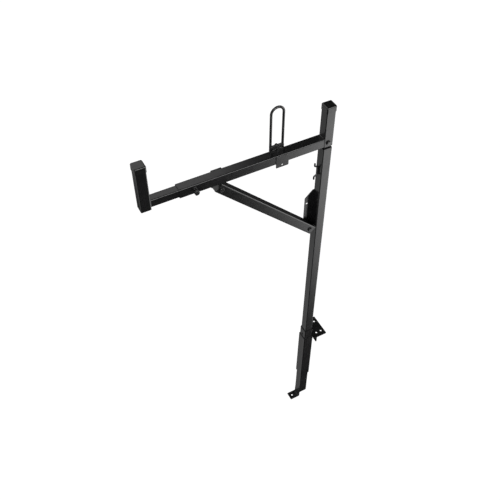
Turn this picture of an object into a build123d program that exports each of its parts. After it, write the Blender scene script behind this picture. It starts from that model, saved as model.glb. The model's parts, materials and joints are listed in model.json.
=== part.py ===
from build123d import *
import os

# A ladder rack upright for a pickup bed: a telescoping post that stands on the
# bed floor, bolts to the bed rail, and carries a braced arm reaching inboard.
# Millimetres. Origin: centre of the rail bolt pattern, on the face that rests
# on the rail. +Z up, +X outboard, +Y along the truck.

# ---- tube and plate stock ------------------------------------------------
TUBE = 38.1              # post, stop posts, arm and brace: 1.5 in square
INNER_TUBE = 31.75       # sliding arm tube: 1.25 in square
LEG_TUBE = 44.45         # leg tube round the post: 1.75 in square
SLEEVE_TUBE = 50.8       # rail sleeve round the leg: 2 in square
WALL = 2.9               # wall of every tube
CORNER = 3.5             # outside corner radius of the two smaller tubes
WIDE_CORNER = 4.5        # and of the two larger ones
INSIDE_CORNER = 0.6
PLATE = 4.0              # ears, flange and cross plate
PLATE_CORNER = 3.0
RAIL_PLATE = 4.8         # plate on the bed rail
STRAP = 4.0              # bent foot strap
EDGE_BREAK = 0.4         # broken edges of the cut plates

# ---- post, arm and end post ----------------------------------------------
POST_X = -63.5           # post axis from the rail bolt pattern
POST_Y = -17.0
ARM_TOP = 1238.0         # top face of the arm above the rail
ARM_LENGTH = 571.0       # fixed arm tube, from the post's inboard face
ARM_REACH = 674.4        # post's inboard face to the end post's near face
INNER_LENGTH = 320.0     # sliding arm tube
STOP_CAP_TOP = 137.0     # top of the stop post's cap above the arm
END_CAP_TOP = 147.5      # top of the end post's cap above the arm
END_POST_DROP = 4.0      # end post below the arm's underside
CAP_HEIGHT = 24.0
CAP_WALL = 1.8
CAP_ROUND = 4.0          # rounding of a cap's top edges
POST_TOP = 1190.0
POST_BOTTOM = -186.0     # end of the post, inside the leg tube
INSERT_TOP = 1233.0      # joining tube between the post and the stop post
INSERT_LENGTH = 118.0

# ---- leg and foot --------------------------------------------------------
LEG_TOP = 60.0
LEG_BOTTOM = -496.0
LEG_HOLE = 13.0          # locking hole through the inboard walls of leg and post
LEG_HOLE_Z = 25.0
FOOT_SOLE = -535.0       # underside of the foot, on the bed floor
FOOT_WIDTH = 42.0
FOOT_REACH = 48.0        # foot strap beyond the leg's inboard face
FOOT_BEND = 8.0          # outside radius of the bend
FOOT_HOLE = 10.0
FOOT_HOLE_OUT = 30.0     # bolt hole from the leg's inboard face

# ---- rail bracket --------------------------------------------------------
SLEEVE_LENGTH = 325.0
RAIL_HOLE = 10.0
RAIL_HOLE_X = 25.4       # spacing of the rail bolt holes, across the rail
RAIL_HOLE_Y = 63.5       # and along it
RAIL_LENGTH = 113.0      # rail plate along the truck
RAIL_EDGE = 30.0         # bolt pattern centre to the plate's outboard edge
FLANGE_X = -23.5         # face of the flange that meets the rail
FLANGE_DEPTH = 36.0

# ---- brace and its ears --------------------------------------------------
BRACE_ARM_OUT = 415.0    # upper brace bolt from the post's inboard face
BRACE_ARM_DROP = 63.5    # and below the arm's top face
BRACE_POST_OUT = 27.0    # lower brace bolt from the post's inboard face
BRACE_UPPER_END = 15.0   # brace beyond its upper bolt, end plug included
BRACE_LOWER_END = 18.0
PLUG_HEAD = 2.5
PLUG_DEPTH = 6.0
PLUG_WALL = 2.0
ARM_EAR_FAR = 437.0      # arm ear's edges from the post's inboard face
ARM_EAR_NEAR = 395.0
ARM_EAR_BOTTOM = 80.0    # below the arm's top face
POST_EAR_TOP = 274.0
POST_EAR_BOTTOM = 478.0
POST_EAR_OUT = 37.5      # post ear's reach inboard of the post
POST_EAR_BACK = 32.0     # its lap on the post's rear face
POST_EAR_CUT = 34.5      # size of its 45 degree corner
SPARE_HOLE_DROP = 339.0

# ---- fasteners -----------------------------------------------------------
BOLT = 10.0
BOLT_HOLE = 10.8
BOLT_FLATS = 17.0
BOLT_HEAD = 6.4
BOLT_SPARE = 3.0         # thread showing beyond a nut
NUT_HEIGHT = 8.4
WASHER_OUTER = 20.0
WASHER_THICK = 2.0
PIVOT_DROP = 22.0        # stop post's bolt below the arm's top face
WELD_NUT_FLATS = 17.0
WELD_NUT_HEIGHT = 8.0
WELD_NUT_BORE = 10.1
ARM_SCREW_STANDOFF = 8.5 # welded nut to the head of a clamping screw
LEG_SCREW_STANDOFF = 2.0 # the same for the two screws low on the rack
TIP_GAP = 0.1            # tip of a clamping screw to the tube it clamps
ARM_SCREW_OUT = 516.0    # arm's clamping screw from the post's inboard face
ARM_SCREW_DROP = TUBE / 2
POST_SCREW_Z = 28.0
LEG_SCREW_Z = -100.0

# ---- hoop, tie tab and cleat ---------------------------------------------
HOOP_OUT = 172.8         # hoop's centre from the post's inboard face
HOOP_HALF = 24.8         # half the spacing of its legs
HOOP_ROD = 9.5
HOOP_BEND = 147.0        # start of its bend above the arm
HOOP_FOOT = 34.0         # its leg ends below the arm's top face
HOOP_EAR_HALF = 26.5
HOOP_EAR_RISE = 14.0
HOOP_EAR_BOTTOM = 36.0
CROSS_BOTTOM = 20.0
HOOP_BOLT = 8.0
HOOP_BOLT_HOLE = 8.6
HOOP_BOLT_FLATS = 13.0
HOOP_BOLT_HEAD = 5.3
HOOP_NUT = 5.0
HOOP_BOLT_SPARE = 1.5
HOOP_BOLT_RISE = 7.0
TAB_OUT = 174.4          # tab's centre from the post's inboard face
TAB_HALF = 25.6
TAB_THICK = 2.5
TAB_TOP = 3.5            # tab's edges below the arm's top face
TAB_BOTTOM = 53.5
TAB_HOLE = 7.0
TAB_HOLE_DROP = 44.0
CLEAT_ROD = 7.0
CLEAT_DROP = 157.5       # cleat's middle below the arm's top face
CLEAT_FLAT = 18.0        # half the length that lies on the post
CLEAT_KNEE = 26.0        # height of each horn's bend
CLEAT_TIP = 38.5
CLEAT_HORN = 19.0        # reach of the horns from the post
CLEAT_RADIUS = 5.0

# ---- derived positions ---------------------------------------------------
HALF = TUBE / 2
INBOARD = POST_X - HALF
REAR = POST_Y + HALF
FRONT = POST_Y - HALF
SLEEVE_HALF = SLEEVE_TUBE / 2
LEG_HALF = LEG_TUBE / 2
LEG_INBOARD = POST_X - LEG_HALF
PIVOT_Z = ARM_TOP - PIVOT_DROP
BRACE_POST_DROP = BRACE_ARM_DROP + BRACE_ARM_OUT - BRACE_POST_OUT
UPPER_BOLT = (INBOARD - BRACE_ARM_OUT, ARM_TOP - BRACE_ARM_DROP)
LOWER_BOLT = (INBOARD - BRACE_POST_OUT, ARM_TOP - BRACE_POST_DROP)
BRACE_SPAN = (BRACE_ARM_OUT - BRACE_POST_OUT) * 2 ** 0.5
HOOP_X = INBOARD - HOOP_OUT
HOOP_Y = REAR + PLATE + HOOP_ROD / 2
ARM_SCREW_X = INBOARD - ARM_SCREW_OUT
ARM_SCREW_Z = ARM_TOP - ARM_SCREW_DROP
BOTTOM = (Align.CENTER, Align.CENTER, Align.MIN)


# ---- shapes that repeat --------------------------------------------------
def square_tube(size, length, corner=CORNER):
    """A square tube standing on z = 0, centred on the Z axis."""
    inside = size - 2 * WALL
    section = RectangleRounded(size, size, corner)
    section -= RectangleRounded(inside, inside, INSIDE_CORNER)
    return extrude(section, length)


def along_y(shape):
    """Turn a shape that points along +Z so that it points along +Y."""
    return Rot(-90, 0, 0) * shape


def along_minus_x(shape):
    """Turn a shape that points along +Z so that it points along -X."""
    return Rot(0, -90, 0) * shape


def drill_y(part, x, z, diameter, low, high):
    """Cut a round hole along Y between two Y positions."""
    drill = along_y(Cylinder(diameter / 2, high - low))
    return part - Pos(x, (low + high) / 2, z) * drill


def hexagon(flats, height, bore=0.0):
    """A hexagonal nut or bolt head on z = 0 with its corners turned off."""
    turned = Cylinder(flats / 3 ** 0.5, height, align=BOTTOM)
    turned = chamfer(turned.edges().filter_by(GeomType.CIRCLE), height * 0.14)
    body = extrude(RegularPolygon(flats / 2, 6, major_radius=False), height) & turned
    if bore:
        body -= Cylinder(bore / 2, 3 * height)
    return body


def hex_screw(diameter, flats, head, length):
    """A hexagon-head screw: head below z = 0, shank up to z = length."""
    shank = Cylinder(diameter / 2, length, align=BOTTOM)
    tip = shank.edges().filter_by(GeomType.CIRCLE).sort_by(Axis.Z)[-1]
    shank = chamfer(tip, diameter * 0.1)
    return shank + Pos(0, 0, -head) * hexagon(flats, head)


def washer():
    """A flat washer for the structural bolts, standing on z = 0."""
    return extrude(Circle(WASHER_OUTER / 2) - Circle(BOLT_HOLE / 2), WASHER_THICK)


def break_edges(plate, across):
    """Chamfer the outline of a plate on both of its broad faces."""
    broad = plate.faces().sort_by(across)
    return chamfer(broad[0].edges() + broad[-1].edges(), EDGE_BREAK)


def xz_plate(outline, low_y, thick, holes=(), corner=0.0):
    """A plate drawn in X and Z that starts at low_y, with holes along Y."""
    plane = Plane((0, low_y, 0), x_dir=(1, 0, 0), z_dir=(0, -1, 0))
    plate = extrude(plane * make_face(Polyline(*outline, close=True)), -thick)
    if corner:
        plate = fillet(plate.edges().filter_by(Axis.Y), corner)
    plate = break_edges(plate, Axis.Y)
    for x, z, diameter in holes:
        plate = drill_y(plate, x, z, diameter, low_y - 1, low_y + thick + 1)
    return plate


def xz_rectangle(left, right, bottom, top):
    """Corner points of an upright rectangle."""
    return [(left, bottom), (right, bottom), (right, top), (left, top)]


def bent_rod(path, diameter):
    """A round rod along a path."""
    start = Plane(path @ 0, z_dir=path % 0)
    return sweep(start * Circle(diameter / 2), path)


def tube_cap(x, top_z):
    """A plastic cap over the top of a stop post."""
    outer = TUBE + 2 * CAP_WALL
    shell = extrude(RectangleRounded(outer, outer, CORNER + CAP_WALL), CAP_HEIGHT)
    shell = fillet(shell.faces().sort_by(Axis.Z)[-1].edges(), CAP_ROUND)
    pocket = extrude(RectangleRounded(TUBE, TUBE, CORNER), CAP_HEIGHT - CAP_WALL)
    return Pos(x, POST_Y, top_z - CAP_HEIGHT) * (shell - pocket)


def weld_nut(x, z, face_y, outward):
    """A nut welded on a tube face, with its bore along Y."""
    nut = hexagon(WELD_NUT_FLATS, WELD_NUT_HEIGHT, WELD_NUT_BORE)
    start = face_y if outward > 0 else face_y - WELD_NUT_HEIGHT
    return Pos(x, start, z) * along_y(nut)


def clamp_screw(x, z, outer_half, outward, inner_half, standoff):
    """A screw in a welded nut, its tip just off the tube inside."""
    seat = outer_half + WELD_NUT_HEIGHT + standoff
    body = hex_screw(BOLT, BOLT_FLATS, BOLT_HEAD, seat - inner_half - TIP_GAP)
    return Pos(x, POST_Y + outward * seat, z) * Rot(90 * outward, 0, 0) * body


def through_bolt(x, z, grip):
    """A structural bolt whose head bears on the front face of a 1.5 in tube."""
    length = grip + WASHER_THICK + NUT_HEIGHT + BOLT_SPARE
    return Pos(x, FRONT, z) * along_y(hex_screw(BOLT, BOLT_FLATS, BOLT_HEAD, length))


def stop_post(x, cap_top, drop=0.0):
    """A short upright that keeps the load on the arm."""
    bottom = ARM_TOP - TUBE - drop
    return Pos(x, POST_Y, bottom) * square_tube(TUBE, ARM_TOP + cap_top - CAP_WALL - bottom)


# ---- rail bracket, fixed to the truck ------------------------------------
def rail_sleeve():
    sleeve = square_tube(SLEEVE_TUBE, SLEEVE_LENGTH, WIDE_CORNER)
    sleeve = Pos(POST_X, POST_Y, RAIL_PLATE - SLEEVE_LENGTH) * sleeve
    outside = POST_Y + SLEEVE_HALF
    return drill_y(sleeve, POST_X, LEG_SCREW_Z, BOLT_HOLE, outside - 2 * WALL, outside + 1)


def rail_plate():
    left = POST_X + SLEEVE_HALF
    plate = extrude(Rectangle(RAIL_EDGE - left, RAIL_LENGTH), RAIL_PLATE)
    plate = Pos((left + RAIL_EDGE) / 2, 0, 0) * plate
    plate = break_edges(fillet(plate.edges().filter_by(Axis.Z), PLATE_CORNER), Axis.Z)
    for x in (-RAIL_HOLE_X / 2, RAIL_HOLE_X / 2):
        for y in (-RAIL_HOLE_Y / 2, RAIL_HOLE_Y / 2):
            plate -= Pos(x, y, 0) * Cylinder(RAIL_HOLE / 2, 3 * RAIL_PLATE)
    return plate


def rail_flange():
    flange = Pos(FLANGE_X - PLATE / 2, 0, -FLANGE_DEPTH / 2) * Box(PLATE, RAIL_LENGTH, FLANGE_DEPTH)
    flange = fillet(flange.edges().filter_by(Axis.X).group_by(Axis.Z)[0], PLATE_CORNER)
    return break_edges(flange, Axis.X)


# ---- leg -----------------------------------------------------------------
def locking_hole():
    """The drill that goes through the inboard walls of the leg and the post."""
    drill = along_minus_x(Cylinder(LEG_HOLE / 2, 6 * WALL))
    return Pos(LEG_INBOARD, POST_Y, LEG_HOLE_Z) * drill


def leg_tube():
    leg = square_tube(LEG_TUBE, LEG_TOP - LEG_BOTTOM, WIDE_CORNER)
    leg = Pos(POST_X, POST_Y, LEG_BOTTOM) * leg
    outside = POST_Y + LEG_HALF
    leg = drill_y(leg, POST_X, POST_SCREW_Z, BOLT_HOLE, outside - 2 * WALL, outside + 1)
    return leg - locking_hole()


def foot_strap():
    """A strip under the leg's inboard wall, bent to reach inboard on the floor."""
    back = LEG_INBOARD + STRAP
    centre_bend = FOOT_BEND - STRAP / 2
    path = FilletPolyline(
        (LEG_INBOARD - FOOT_REACH, POST_Y, FOOT_SOLE + STRAP / 2),
        (back - STRAP / 2, POST_Y, FOOT_SOLE + STRAP / 2),
        (back - STRAP / 2, POST_Y, LEG_BOTTOM),
        radius=centre_bend,
    )
    start = Plane(path @ 0, x_dir=(0, 1, 0), z_dir=path % 0)
    strap = sweep(start * Rectangle(FOOT_WIDTH, STRAP), path)
    strap = fillet(strap.edges().filter_by(Axis.Z).group_by(Axis.X)[0], PLATE_CORNER)
    hole = Cylinder(FOOT_HOLE / 2, 4 * STRAP)
    return strap - Pos(LEG_INBOARD - FOOT_HOLE_OUT, POST_Y, FOOT_SOLE) * hole


# ---- post, arm and brace -------------------------------------------------
def main_post():
    post = Pos(POST_X, POST_Y, POST_BOTTOM) * square_tube(TUBE, POST_TOP - POST_BOTTOM)
    return post - locking_hole()


def post_insert():
    size = TUBE - 2 * WALL
    insert = Pos(POST_X, POST_Y, INSERT_TOP - INSERT_LENGTH) * square_tube(size, INSERT_LENGTH)
    return drill_y(insert, POST_X, PIVOT_Z, BOLT_HOLE, FRONT - 1, REAR + 1)


def outer_stop_post():
    post = stop_post(POST_X, STOP_CAP_TOP)
    return drill_y(post, POST_X, PIVOT_Z, BOLT_HOLE, FRONT - 1, REAR + 1)


def arm_tube():
    arm = along_minus_x(square_tube(TUBE, ARM_LENGTH))
    arm = Pos(INBOARD, POST_Y, ARM_TOP - HALF) * arm
    return drill_y(arm, ARM_SCREW_X, ARM_SCREW_Z, BOLT_HOLE, FRONT - 1, FRONT + 2 * WALL)


def brace_place(distance):
    """A place on the brace's axis, from its lower bolt, with +Z up the brace."""
    return Pos(LOWER_BOLT[0], POST_Y, LOWER_BOLT[1]) * Rot(0, -45, 0) * Pos(0, 0, distance)


def brace_tube():
    start = PLUG_HEAD - BRACE_LOWER_END
    end = BRACE_SPAN + BRACE_UPPER_END - PLUG_HEAD
    tube = brace_place(start) * square_tube(TUBE, end - start)
    for x, z in (UPPER_BOLT, LOWER_BOLT):
        tube = drill_y(tube, x, z, BOLT_HOLE, FRONT - 1, REAR + 1)
    return tube


def brace_plugs():
    inside = TUBE - 2 * WALL
    core = inside - 2 * PLUG_WALL
    plug = extrude(RectangleRounded(TUBE, TUBE, CORNER), -PLUG_HEAD)
    plug += extrude(RectangleRounded(inside, inside, CORNER), PLUG_DEPTH)
    plug -= extrude(RectangleRounded(core, core, CORNER / 2), PLUG_DEPTH)
    upper_end = BRACE_SPAN + BRACE_UPPER_END - PLUG_HEAD
    lower_end = PLUG_HEAD - BRACE_LOWER_END
    upper = brace_place(upper_end) * Rot(180, 0, 0) * plug
    lower = brace_place(lower_end) * plug
    return Compound(children=[upper, lower])


def arm_ear():
    outline = xz_rectangle(
        INBOARD - ARM_EAR_FAR, INBOARD - ARM_EAR_NEAR, ARM_TOP - ARM_EAR_BOTTOM, ARM_TOP
    )
    return xz_plate(outline, REAR, PLATE, [(*UPPER_BOLT, BOLT_HOLE)], PLATE_CORNER)


def post_ear():
    left = INBOARD - POST_EAR_OUT
    right = INBOARD + POST_EAR_BACK
    top = ARM_TOP - POST_EAR_TOP
    bottom = ARM_TOP - POST_EAR_BOTTOM
    outline = [
        (left, bottom),
        (right, bottom),
        (right, top),
        (left + POST_EAR_CUT, top),
        (left, top - POST_EAR_CUT),
    ]
    spare = (LOWER_BOLT[0], ARM_TOP - SPARE_HOLE_DROP, BOLT_HOLE)
    return xz_plate(outline, REAR, PLATE, [(*LOWER_BOLT, BOLT_HOLE), spare], PLATE_CORNER)


def at_structural_bolts(part):
    """Copies of a washer or nut behind the brace's ears and the stop post."""
    places = [
        Pos(UPPER_BOLT[0], REAR + PLATE, UPPER_BOLT[1]),
        Pos(LOWER_BOLT[0], REAR + PLATE, LOWER_BOLT[1]),
        Pos(POST_X, REAR, PIVOT_Z),
    ]
    return Compound(children=[place * along_y(part) for place in places])


# ---- hoop, tie tab and cleat ---------------------------------------------
def hoop_rod():
    left = HOOP_X - HOOP_HALF
    right = HOOP_X + HOOP_HALF
    foot = ARM_TOP - HOOP_FOOT
    bend = ARM_TOP + HOOP_BEND
    path = Line((left, HOOP_Y, foot), (left, HOOP_Y, bend))
    path += ThreePointArc(
        (left, HOOP_Y, bend), (HOOP_X, HOOP_Y, bend + HOOP_HALF), (right, HOOP_Y, bend)
    )
    path += Line((right, HOOP_Y, bend), (right, HOOP_Y, foot))
    return bent_rod(path, HOOP_ROD)


def hoop_plate(half_width, bottom, low_y, corner):
    """A plate behind the arm with the hole for the hoop's bolt."""
    outline = xz_rectangle(
        HOOP_X - half_width, HOOP_X + half_width, ARM_TOP - bottom, ARM_TOP + HOOP_EAR_RISE
    )
    hole = (HOOP_X, ARM_TOP + HOOP_BOLT_RISE, HOOP_BOLT_HOLE)
    return xz_plate(outline, low_y, PLATE, [hole], corner)


def hoop_bolt():
    length = 2 * PLATE + HOOP_NUT + HOOP_BOLT_SPARE
    bolt = hex_screw(HOOP_BOLT, HOOP_BOLT_FLATS, HOOP_BOLT_HEAD, length)
    return Pos(HOOP_X, REAR, ARM_TOP + HOOP_BOLT_RISE) * along_y(bolt)


def hoop_nut():
    nut = hexagon(HOOP_BOLT_FLATS, HOOP_NUT, HOOP_BOLT)
    return Pos(HOOP_X, REAR + 2 * PLATE, ARM_TOP + HOOP_BOLT_RISE) * along_y(nut)


def tie_tab():
    middle = INBOARD - TAB_OUT
    outline = xz_rectangle(
        middle - TAB_HALF, middle + TAB_HALF, ARM_TOP - TAB_BOTTOM, ARM_TOP - TAB_TOP
    )
    hole = (middle, ARM_TOP - TAB_HOLE_DROP, TAB_HOLE)
    return xz_plate(outline, FRONT - TAB_THICK, TAB_THICK, [hole], PLATE_CORNER)


def rope_cleat():
    near = INBOARD - CLEAT_ROD / 2
    far = INBOARD - CLEAT_HORN
    middle = ARM_TOP - CLEAT_DROP
    profile = [(far, CLEAT_TIP), (far, CLEAT_KNEE), (near, CLEAT_FLAT)]
    profile += [(x, -z) for x, z in reversed(profile)]
    points = [(x, POST_Y, middle + z) for x, z in profile]
    return bent_rod(FilletPolyline(*points, radius=CLEAT_RADIUS), CLEAT_ROD)


# ---- sliding arm ---------------------------------------------------------
def arm_inner_tube():
    inner = along_minus_x(square_tube(INNER_TUBE, INNER_LENGTH))
    return Pos(INBOARD - ARM_REACH + INNER_LENGTH, POST_Y, ARM_TOP - HALF) * inner


END_POST_X = INBOARD - ARM_REACH - HALF

nodes = {
    "rail_sleeve": rail_sleeve(),
    "rail_plate": rail_plate(),
    "rail_flange": rail_flange(),
    "leg_lock_nut": weld_nut(POST_X, LEG_SCREW_Z, POST_Y + SLEEVE_HALF, 1),
    "leg_lock_screw": clamp_screw(
        POST_X, LEG_SCREW_Z, SLEEVE_HALF, 1, LEG_HALF, LEG_SCREW_STANDOFF
    ),
    "leg_tube": leg_tube(),
    "foot_strap": foot_strap(),
    "post_lock_nut": weld_nut(POST_X, POST_SCREW_Z, POST_Y + LEG_HALF, 1),
    "post_lock_screw": clamp_screw(POST_X, POST_SCREW_Z, LEG_HALF, 1, HALF, LEG_SCREW_STANDOFF),
    "main_post": main_post(),
    "post_insert": post_insert(),
    "outer_stop_post": outer_stop_post(),
    "outer_stop_cap": tube_cap(POST_X, ARM_TOP + STOP_CAP_TOP),
    "stop_post_bolt": through_bolt(POST_X, PIVOT_Z, TUBE),
    "arm_tube": arm_tube(),
    "arm_lock_nut": weld_nut(ARM_SCREW_X, ARM_SCREW_Z, FRONT, -1),
    "arm_lock_screw": clamp_screw(
        ARM_SCREW_X, ARM_SCREW_Z, HALF, -1, INNER_TUBE / 2, ARM_SCREW_STANDOFF
    ),
    "arm_ear": arm_ear(),
    "post_ear": post_ear(),
    "brace_tube": brace_tube(),
    "brace_plugs": brace_plugs(),
    "brace_bolts": Compound(
        children=[through_bolt(x, z, TUBE + PLATE) for x, z in (UPPER_BOLT, LOWER_BOLT)]
    ),
    "bolt_washers": at_structural_bolts(washer()),
    "bolt_nuts": at_structural_bolts(Pos(0, 0, WASHER_THICK) * hexagon(BOLT_FLATS, NUT_HEIGHT, BOLT)),
    "hoop_rod": hoop_rod(),
    "hoop_ear": hoop_plate(HOOP_EAR_HALF, HOOP_EAR_BOTTOM, REAR, PLATE_CORNER),
    "hoop_cross_plate": hoop_plate(HOOP_HALF - HOOP_ROD / 2, CROSS_BOTTOM, REAR + PLATE, 0.0),
    "hoop_bolt": hoop_bolt(),
    "hoop_nut": hoop_nut(),
    "tie_tab": tie_tab(),
    "rope_cleat": rope_cleat(),
    "arm_inner_tube": arm_inner_tube(),
    "end_post": stop_post(END_POST_X, END_CAP_TOP, END_POST_DROP),
    "end_post_cap": tube_cap(END_POST_X, ARM_TOP + END_CAP_TOP),
}

os.makedirs("parts", exist_ok=True)
for name, shape in nodes.items():
    export_step(shape, f"parts/{name}.step")
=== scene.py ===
import json
import math
import random

import bmesh
import bpy
from mathutils import Matrix, Vector


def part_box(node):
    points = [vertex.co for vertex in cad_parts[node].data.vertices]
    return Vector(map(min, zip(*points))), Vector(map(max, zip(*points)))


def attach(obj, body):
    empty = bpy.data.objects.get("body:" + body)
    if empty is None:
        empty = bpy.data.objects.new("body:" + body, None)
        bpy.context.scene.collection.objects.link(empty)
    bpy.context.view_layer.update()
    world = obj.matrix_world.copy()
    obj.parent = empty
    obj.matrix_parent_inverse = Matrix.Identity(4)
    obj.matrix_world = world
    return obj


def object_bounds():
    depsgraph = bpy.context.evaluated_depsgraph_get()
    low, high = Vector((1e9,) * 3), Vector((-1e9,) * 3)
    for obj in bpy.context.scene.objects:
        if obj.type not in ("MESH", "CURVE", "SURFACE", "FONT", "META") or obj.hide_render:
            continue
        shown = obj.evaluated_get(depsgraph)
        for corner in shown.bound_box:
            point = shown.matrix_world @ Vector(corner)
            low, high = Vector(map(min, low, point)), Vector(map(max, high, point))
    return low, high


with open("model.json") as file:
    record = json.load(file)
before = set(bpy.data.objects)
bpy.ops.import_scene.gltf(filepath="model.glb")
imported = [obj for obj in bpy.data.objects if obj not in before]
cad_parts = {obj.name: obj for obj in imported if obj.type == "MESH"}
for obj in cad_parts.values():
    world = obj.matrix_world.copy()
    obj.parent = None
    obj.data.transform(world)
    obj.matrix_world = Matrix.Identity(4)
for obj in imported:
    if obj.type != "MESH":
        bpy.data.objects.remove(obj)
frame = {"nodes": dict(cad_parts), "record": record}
cad_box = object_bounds()
NODES = frame["nodes"]
ARM_LOW, ARM_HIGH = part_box("arm_tube")
POST_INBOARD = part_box("outer_stop_post")[0].x        # the face that the arm is welded to

# ---- view and light ------------------------------------------------------
LENS = 50.0                  # millimetres, on a 36 mm sensor
FAR_CLIP = 60.0              # beyond the far side of the backdrop
VIEW_AZIMUTH = -27.97        # degrees; 0 looks along +Y
VIEW_ELEVATION = 47.67
VIEW_DISTANCE = 3.2
AIM_FROM_RAIL = Vector((-0.2359, 0.2474, 0.4534))   # from the rail bolt pattern

STUDIO = 24.0                # half the floor, and the backdrop's radius
FLOOR_DROP = 0.014           # room for the foot at its lowest
FLOOR_GREY = 0.3
FLOOR_GLOW = 0.95
BACKDROP_GLOW = 1.0

# Places and aims of the two lamps are counted from the middle of the object.
STRIP_PLACE = Vector((0.5, -2.7, 2.2))               # mirrored in the rounded edges
STRIP_AIM = Vector((0.5, 0, 0.4))
STRIP_SIZE = (4.0, 2.2)
STRIP_POWER = 150.0
SOFT_PLACE = Vector((-1.4, -2.8, 1.0))               # lifts the shadows, isn't mirrored
SOFT_AIM = Vector((0, 0, 0))
SOFT_SIZE = (2.5, 2.5)
SOFT_POWER = 40.0

FILL = 0.04                  # light from every direction
# Soft areas of light: direction, inner and outer angle in degrees, strength.
SOFT_AREAS = (
    ((0.72, -0.45, -0.53), 15, 27, 2.9),             # right, in front and below
    ((-0.70, 0.25, -0.67), 18, 32, 0.62),            # left and below
    ((-0.25, 0.81, 0.53), 33, 38, 1.12),             # behind and above
    ((-0.30, 0.92, -0.20), 8, 32, 1.3),              # behind
    ((0.96, -0.25, 0.08), 4, 22, 4.2),               # right
    ((-0.90, -0.42, -0.10), 8, 30, 0.8),             # left and in front
)

# ---- surface detail ------------------------------------------------------
BEAD_RADIUS = 0.0021         # weld beads
FINE_BEAD = 0.0015
BEAD_SIDES = 12
BEAD_STEP = 0.0006           # between two rings of a bead
BEAD_PITCH = 0.0019          # length of one weld ripple
BEAD_RIPPLE = 0.13           # depth of a ripple, as a share of the radius
BEAD_BOW = 0.0009            # how far a ripple bulges along the bead
BEAD_BLUNT = 0.0004          # keeps a bead's very ends from closing to a point
BEAD_WANDER = 0.06           # slow change of a bead's radius, as a share of it
WANDER_RATE = 310            # radians for each metre
BEAD_INSET = 0.0012          # how deep a bead sits in a groove
INSET = 0.004                # bead ends from the corners of a tube
STITCH_SHARE = 0.62          # welded share of a stitched seam
EAR_STITCHES = 4
FLANGE_STITCHES = 3
CLEAT_SEAT = 0.014           # half the length of the cleat's beads
STRAP_THICK = 0.004
NUT_BEAD_TURNS = (90, 210, 330)                      # degrees round the nut
NUT_BEAD_HALF = 0.45         # half a nut's bead, as a share of half its width across flats
THREAD_PITCH = 0.0015
THREAD_DEPTH = 0.0004
THREAD_STEP = 0.00018        # between two rings of a thread
THREAD_SIDES = 36
THREAD_RUNOUT = THREAD_PITCH / 3                     # where a thread fades out at its ends
SHANK_RADIUS = 0.00495
SCREW_HEAD = 0.0064          # height of a clamping screw's head
BOLT_SPARE = 0.003           # shank beyond a bolt's nut
TIP_CHAMFER = 0.001
TIP_SLACK = 0.0002           # depth in which the points of a bolt's tip are looked for
SINGLE_BOLT = 0.05           # a node narrower than this holds one bolt
CLEARANCE = 0.0002           # from a nut's face to the first turn

random.seed(7)


# ---- materials -----------------------------------------------------------
def new_material(name, colour, roughness, specular=0.5):
    """A principled material with plain values under its nodes, and its tree and shader."""
    material = bpy.data.materials.new(name)
    material.use_nodes = True
    tree = material.node_tree
    shader = tree.nodes["Principled BSDF"]
    shader.inputs["Base Color"].default_value = (*colour, 1)
    shader.inputs["Roughness"].default_value = roughness
    shader.inputs["Specular IOR Level"].default_value = specular
    return material, tree, shader


def noise(tree, scale, detail=2):
    """A noise texture in the object's own coordinates."""
    coordinates = tree.nodes.new("ShaderNodeTexCoord")
    texture = tree.nodes.new("ShaderNodeTexNoise")
    texture.inputs["Scale"].default_value = scale
    texture.inputs["Detail"].default_value = detail
    tree.links.new(coordinates.outputs["Object"], texture.inputs["Vector"])
    return texture.outputs["Fac"]


def remap(tree, value, source, target=(0, 1)):
    """Map one range of a value, (low, high), on to another, and hold it there."""
    node = tree.nodes.new("ShaderNodeMapRange")
    node.inputs["From Min"].default_value, node.inputs["From Max"].default_value = source
    node.inputs["To Min"].default_value, node.inputs["To Max"].default_value = target
    tree.links.new(value, node.inputs["Value"])
    return node.outputs["Result"]


def blend_colours(tree, factor, first, second):
    """A colour that goes from the first, a colour or an output, to the second with a factor."""
    mix = tree.nodes.new("ShaderNodeMix")
    mix.data_type = "RGBA"
    base, top = (socket for socket in mix.inputs if socket.type == "RGBA")
    if isinstance(first, tuple):
        base.default_value = (*first, 1)
    else:
        tree.links.new(first, base)
    top.default_value = (*second, 1)
    tree.links.new(factor, mix.inputs["Factor"])
    return next(socket for socket in mix.outputs if socket.type == "RGBA")


def painted_edge_highlight(tree, radius, grain):
    """Mask of a painted highlight: 1 along sharp edges and 0 on the faces, broken up by a grain."""
    bevel = tree.nodes.new("ShaderNodeBevel")
    bevel.samples = 6
    bevel.inputs["Radius"].default_value = radius
    face = tree.nodes.new("ShaderNodeNewGeometry")
    dot = tree.nodes.new("ShaderNodeVectorMath")
    dot.operation = "DOT_PRODUCT"
    tree.links.new(bevel.outputs["Normal"], dot.inputs[0])
    tree.links.new(face.outputs["Normal"], dot.inputs[1])
    edge = remap(tree, dot.outputs["Value"], (0.82, 0.98), (1, 0))
    broken = remap(tree, noise(tree, grain, 4), (0.35, 0.6), (0.25, 1))
    # painted highlight: the edge mask, broken up by the grain
    highlight_mask = tree.nodes.new("ShaderNodeMath")
    highlight_mask.operation = "MULTIPLY"
    tree.links.new(edge, highlight_mask.inputs[0])
    tree.links.new(broken, highlight_mask.inputs[1])
    return highlight_mask.outputs["Value"]


def bumps(tree, shader, layers):
    """Chain bump layers of (height, strength, distance) into the shader."""
    previous = None
    for height, strength, distance in layers:
        bump = tree.nodes.new("ShaderNodeBump")
        bump.inputs["Strength"].default_value = strength
        bump.inputs["Distance"].default_value = distance
        tree.links.new(height, bump.inputs["Height"])
        if previous:
            tree.links.new(previous, bump.inputs["Normal"])
        previous = bump.outputs["Normal"]
    tree.links.new(previous, shader.inputs["Normal"])


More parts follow.
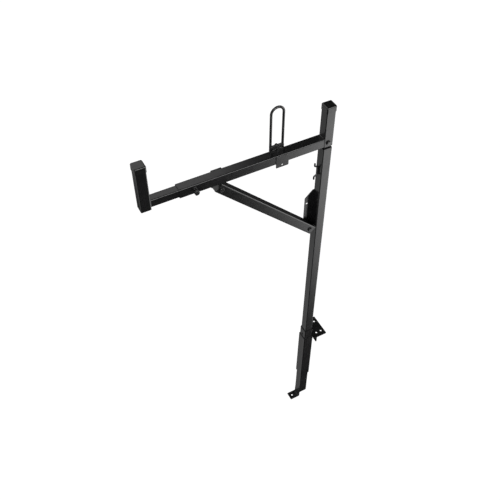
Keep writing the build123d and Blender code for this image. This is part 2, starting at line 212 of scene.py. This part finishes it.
def powder_coat():
    """Black powder coat: orange peel, slow mottling and a painted highlight, a paler colour along
    sharp edges.
    """
    material, tree, shader = new_material("powder_coat", (0.011, 0.011, 0.0115), 0.17)
    mottle = remap(tree, noise(tree, 14, 4), (0.35, 0.7))
    colour = blend_colours(tree, mottle, (0.009, 0.009, 0.0095), (0.0135, 0.0135, 0.014))
    # painted highlight: the colour turns paler along sharp edges
    colour = blend_colours(tree, painted_edge_highlight(tree, 0.0007, 180), colour, (0.05, 0.05, 0.05))
    tree.links.new(colour, shader.inputs["Base Color"])
    roughness = remap(tree, noise(tree, 45, 5), (0.3, 0.75), (0.15, 0.21))
    tree.links.new(roughness, shader.inputs["Roughness"])
    peel = noise(tree, 900)
    pits = noise(tree, 2600, 1)
    bumps(tree, shader, [(peel, 0.12, 0.00006), (pits, 0.08, 0.00003)])
    return material


def black_hardware():
    """Black zinc with rubbed patches, and a painted highlight: paler along sharp edges."""
    material, tree, shader = new_material("black_zinc", (0.012, 0.012, 0.012), 0.22, specular=0.7)
    rub = remap(tree, noise(tree, 260, 5), (0.52, 0.72))
    colour = blend_colours(tree, rub, (0.01, 0.01, 0.0105), (0.03, 0.03, 0.031))
    # painted highlight: the colour turns much paler along sharp edges
    highlight_mask = painted_edge_highlight(tree, 0.0006, 500)
    colour = blend_colours(tree, highlight_mask, colour, (0.22, 0.22, 0.22))
    tree.links.new(colour, shader.inputs["Base Color"])
    roughness = remap(tree, noise(tree, 420, 3), (0.3, 0.7), (0.17, 0.3))
    tree.links.new(roughness, shader.inputs["Roughness"])
    bumps(tree, shader, [(noise(tree, 1500, 3), 0.3, 0.00006)])
    return material


def cap_plastic():
    """Moulded polyethylene with a fine spark-eroded grain."""
    material, tree, shader = new_material("cap_plastic", (0.010, 0.010, 0.010), 0.2)
    tone = remap(tree, noise(tree, 30, 3), (0.35, 0.7))
    colour = blend_colours(tree, tone, (0.009, 0.009, 0.009), (0.013, 0.013, 0.013))
    tree.links.new(colour, shader.inputs["Base Color"])
    roughness = remap(tree, noise(tree, 70, 4), (0.3, 0.7), (0.17, 0.24))
    tree.links.new(roughness, shader.inputs["Roughness"])
    bumps(tree, shader, [(noise(tree, 3200), 0.25, 0.00005)])
    return material


def dark_primer_with_painted_shade():
    """Dull black primer, chalky in patches, darker than the coat as painted shade for the gap under
    the stub.
    """
    # painted shade: darker than the coat, standing in for the shade in the gap under the stub
    material, tree, shader = new_material("dark_primer_with_painted_shade", (0.003, 0.003, 0.003), 0.85, specular=0.1)
    chalk = remap(tree, noise(tree, 60, 4), (0.4, 0.75))
    colour = blend_colours(tree, chalk, (0.002, 0.002, 0.002), (0.005, 0.005, 0.005))
    tree.links.new(colour, shader.inputs["Base Color"])
    bumps(tree, shader, [(noise(tree, 1800, 3), 0.4, 0.00008)])
    return material


MATERIALS = {
    "black_powder_coat": powder_coat(),
    "black_hardware": black_hardware(),
    "black_cap_plastic": cap_plastic(),
    "matte_black_primer": dark_primer_with_painted_shade(),
}


def finish_nodes():
    """Give every CAD node the material of its slot."""
    for part in frame["record"]["subparts"]:
        node = NODES[part["node"]]
        material = MATERIALS[part["material_slot"]]
        for slot in node.material_slots:
            slot.material = material


# ---- pieces --------------------------------------------------------------
def add_piece(name, mesh_data, body, slot):
    """Link a finished mesh as a piece that rides on a body."""
    vertices, faces = mesh_data
    mesh = bpy.data.meshes.new(name)
    mesh.from_pydata(vertices, [], faces)
    mesh.update()
    builder = bmesh.new()
    builder.from_mesh(mesh)
    bmesh.ops.recalc_face_normals(builder, faces=builder.faces)
    builder.to_mesh(mesh)
    builder.free()
    mesh.shade_smooth()
    piece = bpy.data.objects.new(name, mesh)
    bpy.context.scene.collection.objects.link(piece)
    mesh.materials.append(MATERIALS[slot])
    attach(piece, body)


def skin(rows):
    """The mesh of equal rings of points joined in a row, with both ends closed."""
    count = len(rows[0])
    last = (len(rows) - 1) * count
    vertices = [point for row in rows for point in row]
    faces = []
    for start in range(0, last, count):
        for side in range(count):
            other = (side + 1) % count
            faces.append((start + side, start + other, start + count + other, start + count + side))
    faces.append(tuple(range(count)))
    faces.append(tuple(range(last, last + count)))
    return vertices, faces


# ---- welds ---------------------------------------------------------------
def bead_rows(start, end, outward, radius):
    """Rings of a straight weld bead with bowed ripples and tapered ends."""
    path = end - start
    along = path.normalized()
    side = along.cross(outward).normalized()
    out = side.cross(along)
    steps = int(path.length / BEAD_STEP)
    phase = random.uniform(0, math.tau)
    rows = []
    for step in range(steps + 1):
        place = path.length * step / steps
        from_end = min(place, path.length - place)
        taper = math.sqrt(min(1.0, (from_end + BEAD_BLUNT) / (2 * radius)))
        wander = 1 + BEAD_WANDER * math.sin(place * WANDER_RATE + phase)
        row = []
        for corner in range(BEAD_SIDES):
            angle = math.tau * corner / BEAD_SIDES
            bowed = place + BEAD_BOW * math.cos(angle)
            ripple = abs(math.sin(math.pi * bowed / BEAD_PITCH + phase))
            reach = radius * taper * wander * (1 - BEAD_RIPPLE + BEAD_RIPPLE * ripple)
            direction = out * math.cos(angle) + side * math.sin(angle)
            row.append(start + along * place + direction * reach)
        rows.append(row)
    return rows


def weld(name, body, runs, radius=BEAD_RADIUS):
    """One piece made of straight beads, each (start, end, outward)."""
    vertices, faces = [], []
    for start, end, outward in runs:
        rows = bead_rows(Vector(start), Vector(end), Vector(outward), radius)
        bead_vertices, bead_faces = skin(rows)
        first = len(vertices)
        vertices += bead_vertices
        faces += [tuple(first + corner for corner in face) for face in bead_faces]
    add_piece(name, (vertices, faces), body, "black_powder_coat")


def run(axis, span, at, outward):
    """A straight bead along one axis; at gives the other two coordinates in order."""
    ends = []
    for place in span:
        point = list(at)
        point.insert("xyz".index(axis), place)
        ends.append(point)
    return ends[0], ends[1], outward


def stitches(axis, span, at, outward, count):
    """Short beads with gaps between them, evenly spaced over a span."""
    pitch = (span[1] - span[0]) / count
    starts = [span[0] + pitch * (index + 0.5 - STITCH_SHARE / 2) for index in range(count)]
    return [run(axis, (start, start + pitch * STITCH_SHARE), at, outward) for start in starts]


def inset(low, high):
    """A span that keeps off both corners of a tube or a plate."""
    return low + INSET, high - INSET


def arm_root_weld():
    """Beads on the top and both sides of the arm where it meets the stop post."""
    upright = inset(ARM_LOW.z, ARM_HIGH.z)
    groove = POST_INBOARD + BEAD_INSET
    beads = [
        run("y", inset(ARM_LOW.y, ARM_HIGH.y), (POST_INBOARD, ARM_HIGH.z), (-1, 0, 1)),
        run("z", upright, (groove, ARM_LOW.y + BEAD_INSET), (0, -1, 0)),
        run("z", upright, (groove, ARM_HIGH.y - BEAD_INSET), (0, 1, 0)),
    ]
    weld("arm_root_weld", "post", beads)


def post_ear_weld():
    """Stitched beads along both edges of the post's ear, and one across its top."""
    low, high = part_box("post_ear")
    groove = POST_INBOARD + BEAD_INSET, low.y - BEAD_INSET
    beads = stitches("z", (low.z, high.z), groove, (-1, -1, 0), EAR_STITCHES)
    beads += stitches("z", (low.z, high.z), (high.x, low.y), (1, 1, 0), EAR_STITCHES)
    beads.append(run("x", inset(POST_INBOARD, high.x), (low.y, high.z), (0, 1, 1)))
    weld("post_ear_weld", "post", beads)


def arm_ear_weld():
    """Beads up both sides of the arm's ear."""
    low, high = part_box("arm_ear")
    upright = inset(ARM_LOW.z, ARM_HIGH.z)
    beads = [run("z", upright, (x, low.y), (side, 1, 0)) for x, side in ((low.x, -1), (high.x, 1))]
    weld("arm_ear_weld", "post", beads)


def hoop_welds():
    """Beads round the hoop's ear, in front of it along the arm, and down the hoop's legs."""
    low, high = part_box("hoop_ear")
    across = inset(low.x, high.x)
    beads = [
        run("x", across, (low.y, low.z), (0, 1, -1)),
        run("x", across, (low.y - BEAD_INSET / 2, ARM_HIGH.z - BEAD_INSET / 2), (0, -1, 1)),
    ]
    for x, side in ((low.x, -1), (high.x, 1)):
        beads.append(run("z", inset(low.z, ARM_HIGH.z), (x, low.y), (side, 1, 0)))
    weld("hoop_ear_weld", "post", beads)

    low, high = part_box("hoop_cross_plate")
    legs = [run("z", inset(low.z, high.z), (x, high.y), (0, 1, 0)) for x in (low.x, high.x)]
    weld("hoop_rod_weld", "post", legs)


def tie_tab_weld():
    """A bead behind the tie tab, along the arm's lower front edge."""
    low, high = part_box("tie_tab")
    bead = run("x", inset(low.x, high.x), (high.y, ARM_LOW.z), (0, 1, -1))
    weld("tie_tab_weld", "post", [bead])


def cleat_weld():
    """Fine beads on both sides of the cleat's straight part."""
    low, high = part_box("rope_cleat")
    middle = (low.z + high.z) / 2
    seat = middle - CLEAT_SEAT, middle + CLEAT_SEAT
    beads = [run("z", seat, (high.x, y), (-1, side, 0)) for y, side in ((low.y, -1), (high.y, 1))]
    weld("cleat_weld", "post", beads, FINE_BEAD)


def end_post_weld():
    """Fine beads all round the sliding tube where it meets the end post."""
    low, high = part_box("arm_inner_tube")
    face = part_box("end_post")[1].x
    across = inset(low.y, high.y)
    upright = inset(low.z, high.z)
    beads = [
        run("y", across, (face, high.z), (1, 0, 1)),
        run("y", across, (face, low.z), (1, 0, -1)),
        run("z", upright, (face, low.y), (1, -1, 0)),
        run("z", upright, (face, high.y), (1, 1, 0)),
    ]
    weld("end_post_weld", "arm_slide", beads, FINE_BEAD)


def rail_welds():
    """Beads over and under the rail plate at the sleeve, and stitches along the flange."""
    sleeve_low, sleeve_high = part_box("rail_sleeve")
    plate_low, plate_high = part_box("rail_plate")
    across = inset(sleeve_low.y, sleeve_high.y)
    plate = [
        run("y", across, (sleeve_high.x, plate_low.z), (1, 0, -1)),
        run("y", across, (sleeve_high.x, plate_high.z - BEAD_INSET), (0, 0, 1)),
    ]
    weld("rail_plate_weld", "bracket", plate)

    low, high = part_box("rail_flange")
    length = inset(plate_low.y, plate_high.y)
    flange = stitches("y", length, (low.x, high.z), (-1, 0, -1), FLANGE_STITCHES)
    weld("rail_flange_weld", "bracket", flange)


def foot_weld():
    """A fine bead behind the foot strap, where it meets the end of the leg."""
    low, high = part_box("foot_strap")
    inner_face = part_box("leg_tube")[0].x + STRAP_THICK
    bead = run("y", inset(low.y, high.y), (inner_face, high.z), (1, 0, 0))
    weld("foot_weld", "leg", [bead], FINE_BEAD)


def nut_weld(name, node, body, outward):
    """Three short beads round a welded nut, on the flats away from its corners."""
    low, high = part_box(node)
    middle = (low + high) / 2
    face = high.y if outward < 0 else low.y
    flats = (high.z - low.z) / 2
    beads = []
    for turn in NUT_BEAD_TURNS:
        angle = math.radians(turn)
        out = Vector((math.cos(angle), 0, math.sin(angle)))
        along = Vector((-math.sin(angle), 0, math.cos(angle)))
        centre = Vector((middle.x, face, middle.z)) + out * flats
        half = along * flats * NUT_BEAD_HALF
        beads.append((centre - half, centre + half, out + Vector((0, outward, 0))))
    weld(name, body, beads, FINE_BEAD)


# ---- threads -------------------------------------------------------------
def thread(name, body, start, end):
    """The visible turns of a screw thread, round a shank that runs along Y."""
    path = end - start
    steps = int(path.length / THREAD_STEP)
    along = path.normalized()
    side = Vector((1, 0, 0))
    up = along.cross(side)
    rows = []
    for step in range(steps + 1):
        place = path.length * step / steps
        from_end = min(place, path.length - place)
        depth = THREAD_DEPTH * min(1, from_end / THREAD_RUNOUT)
        row = []
        for corner in range(THREAD_SIDES):
            share = corner / THREAD_SIDES
            angle = math.tau * share
            wave = abs(2 * ((place / THREAD_PITCH - share) % 1) - 1)
            reach = SHANK_RADIUS + depth * wave
            row.append(start + along * place + (side * math.cos(angle) + up * math.sin(angle)) * reach)
        rows.append(row)
    add_piece(name, skin(rows), body, "black_hardware")


def screw_threads():
    """Thread turns between each clamping screw's head and its welded nut."""
    for label in ("arm", "post", "leg"):
        screw_low, screw_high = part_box(f"{label}_lock_screw")
        nut_low, nut_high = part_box(f"{label}_lock_nut")
        middle = (screw_low + screw_high) / 2
        if label == "arm":
            span = (screw_low.y + SCREW_HEAD, nut_low.y - CLEARANCE)
        else:
            span = (nut_high.y + CLEARANCE, screw_high.y - SCREW_HEAD)
        start, end = (Vector((middle.x, y, middle.z)) for y in span)
        thread(f"{label}_screw_thread", f"{label}_screw", start, end)


def shank_tips(node):
    """Centres of the rear tips of a node's bolts: one bolt, or two side by side."""
    low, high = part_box(node)
    middle = (low.x + high.x) / 2
    points = [vertex.co for vertex in NODES[node].data.vertices if vertex.co.y > high.y - TIP_SLACK]
    groups = [points]
    if high.x - low.x > SINGLE_BOLT:
        groups = [[point for point in points if point.x < middle],
                  [point for point in points if point.x >= middle]]
    centres = []
    for group in groups:
        xs = [point.x for point in group]
        zs = [point.z for point in group]
        centres.append(Vector(((min(xs) + max(xs)) / 2, high.y, (min(zs) + max(zs)) / 2)))
    return centres


def bolt_threads():
    """Thread turns on the structural bolts, beyond their nuts."""
    for node in ("stop_post_bolt", "brace_bolts"):
        for index, tip in enumerate(shank_tips(node)):
            start = tip - Vector((0, BOLT_SPARE, 0))
            end = tip - Vector((0, TIP_CHAMFER, 0))
            thread(f"{node}_thread_{index + 1}", "post", start, end)


# ---- camera and studio ---------------------------------------------------
def main_camera():
    """The camera that looks down on the object at three quarters."""
    azimuth = math.radians(VIEW_AZIMUTH)
    elevation = math.radians(VIEW_ELEVATION)
    back = Vector((
        math.sin(azimuth) * math.cos(elevation),
        -math.cos(azimuth) * math.cos(elevation),
        math.sin(elevation),
    ))
    rail = next(mount for mount in frame["record"]["mounts"] if mount["name"] == "rail_bolts")
    aim = Vector(rail["pos_m"]) + AIM_FROM_RAIL
    data = bpy.data.cameras.new("camera")
    data.lens = LENS
    data.clip_end = FAR_CLIP
    camera = bpy.data.objects.new("camera", data)
    camera.location = aim + back * VIEW_DISTANCE
    camera.rotation_euler = back.to_track_quat("Z", "Y").to_euler()
    bpy.context.scene.collection.objects.link(camera)
    bpy.context.scene.camera = camera


def softbox(name, place, target, size, power, mirrored):
    """A rectangular light that is either mirrored in the coat or lights it softly."""
    data = bpy.data.lights.new(name, "AREA")
    data.shape = "RECTANGLE"
    data.size, data.size_y = size
    data.energy = power
    light = bpy.data.objects.new(name, data)
    light.location = place
    light.rotation_euler = (place - target).to_track_quat("Z", "Y").to_euler()
    light.visible_camera = False
    light.visible_diffuse = not mirrored
    light.visible_glossy = mirrored
    bpy.context.scene.collection.objects.link(light)


def lamps():
    """One lamp for the highlights along the edges, and one for the shadows."""
    middle = (Vector(cad_box[0]) + Vector(cad_box[1])) / 2
    softbox("edge_strip", middle + STRIP_PLACE, middle + STRIP_AIM, STRIP_SIZE, STRIP_POWER, True)
    softbox("soft_front", middle + SOFT_PLACE, middle + SOFT_AIM, SOFT_SIZE, SOFT_POWER, False)


def glow(name, grey, strength):
    """A material for the studio's own surfaces, which mostly shine."""
    material, _, shader = new_material(name, (grey, grey, grey), roughness=0.9, specular=0.0)
    shader.inputs["Emission Color"].default_value = (1, 1, 1, 1)
    shader.inputs["Emission Strength"].default_value = strength
    return material


def hide_from_light(surface):
    """The surface is seen by the camera, while light passes through it."""
    surface.visible_glossy = False
    surface.visible_diffuse = False
    surface.visible_shadow = False


def studio_floor():
    """A pale floor below the foot. The coat mirrors the soft surround, not the floor."""
    level = cad_box[0][2] - FLOOR_DROP
    mesh = bpy.data.meshes.new("floor")
    corners = [(-STUDIO, -STUDIO), (STUDIO, -STUDIO), (STUDIO, STUDIO), (-STUDIO, STUDIO)]
    mesh.from_pydata([(x, y, level) for x, y in corners], [], [(0, 1, 2, 3)])
    floor = bpy.data.objects.new("floor", mesh)
    bpy.context.scene.collection.objects.link(floor)
    mesh.materials.append(glow("floor_paper", FLOOR_GREY, FLOOR_GLOW))
    hide_from_light(floor)


def studio_backdrop():
    """A white dome behind everything, which lights nothing."""
    bpy.ops.mesh.primitive_uv_sphere_add(radius=STUDIO, segments=48, ring_count=24)
    dome = bpy.context.object
    dome.name = "backdrop"
    dome.data.materials.append(glow("backdrop_paper", 0, BACKDROP_GLOW))
    hide_from_light(dome)


def soft_surround():
    """World light: a dim fill with a few broad soft areas, each around a direction."""
    world = bpy.data.worlds.new("studio")
    bpy.context.scene.world = world
    world.use_nodes = True
    tree = world.node_tree
    direction = tree.nodes.new("ShaderNodeTexCoord").outputs["Generated"]
    total = tree.nodes.new("ShaderNodeValue").outputs["Value"]
    total.default_value = FILL
    for centre, inner, outer, strength in SOFT_AREAS:
        dot = tree.nodes.new("ShaderNodeVectorMath")
        dot.operation = "DOT_PRODUCT"
        dot.inputs[1].default_value = Vector(centre).normalized()
        tree.links.new(direction, dot.inputs[0])
        fade = tree.nodes.new("ShaderNodeMapRange")
        fade.interpolation_type = "SMOOTHSTEP"
        fade.inputs["From Min"].default_value = math.cos(math.radians(outer))
        fade.inputs["From Max"].default_value = math.cos(math.radians(inner))
        fade.inputs["To Max"].default_value = strength
        tree.links.new(dot.outputs["Value"], fade.inputs["Value"])
        add = tree.nodes.new("ShaderNodeMath")
        add.operation = "ADD"
        tree.links.new(total, add.inputs[0])
        tree.links.new(fade.outputs["Result"], add.inputs[1])
        total = add.outputs["Value"]
    background = tree.nodes["Background"]
    background.inputs["Color"].default_value = (1, 1, 1, 1)
    tree.links.new(total, background.inputs["Strength"])


finish_nodes()
arm_root_weld()
post_ear_weld()
arm_ear_weld()
hoop_welds()
tie_tab_weld()
cleat_weld()
end_post_weld()
rail_welds()
foot_weld()
nut_weld("arm_nut_weld", "arm_lock_nut", "post", -1)
nut_weld("post_nut_weld", "post_lock_nut", "leg", 1)
nut_weld("leg_nut_weld", "leg_lock_nut", "bracket", 1)
screw_threads()
bolt_threads()
main_camera()
studio_floor()
studio_backdrop()
soft_surround()
lamps()
bpy.context.scene.view_settings.view_transform = "Standard"
